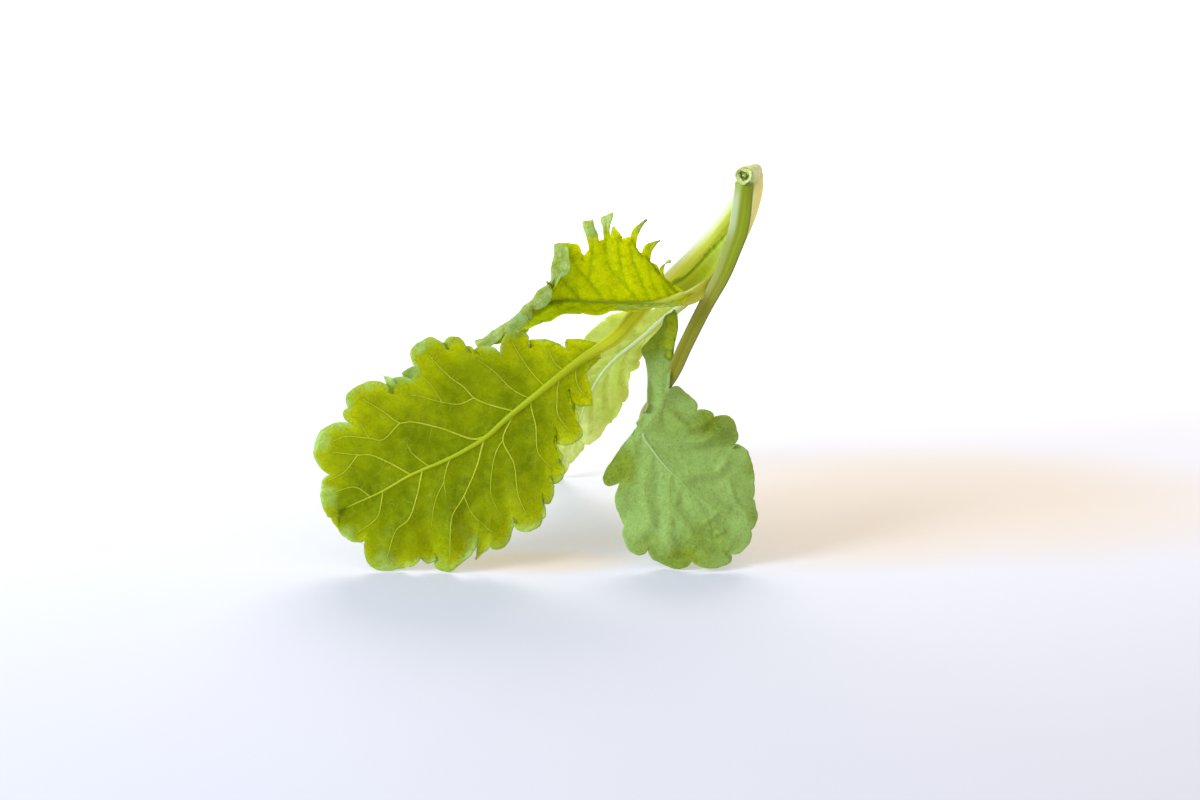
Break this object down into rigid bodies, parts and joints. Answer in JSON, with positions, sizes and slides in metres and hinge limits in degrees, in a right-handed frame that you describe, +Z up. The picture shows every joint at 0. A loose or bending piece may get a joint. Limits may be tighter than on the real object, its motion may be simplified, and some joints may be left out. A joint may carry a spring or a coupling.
{
  "type": "wasabi mustard greens bunch",
  "caption": "Small sprig of leafy salad greens: young lobed and toothed leaves on curved stalks that meet in a short cut stem, resting on their leaf tips.",
  "frame": {"origin": "middle of the underside of the sprig's box, on the surface that it lies on", "axes": "+Z up; +X to the right, from the tip of the big left leaf towards the cut stem; +Y away from the side that shows the leaves' faces"},
  "size_m": [0.0972, 0.0636, 0.0842],
  "materials": {
    "cut_stem": "satin",
    "leaf_left": "satin",
    "leaf_upper": "satin",
    "leaf_middle": "satin",
    "leaf_right": "satin"
  },
  "bodies": {
    "root": {"cut_stem": "cut_stem", "leaf_left": "leaf_left", "leaf_upper": "leaf_upper", "leaf_middle": "leaf_middle", "leaf_right": "leaf_right"}
  },
  "joints": []
}
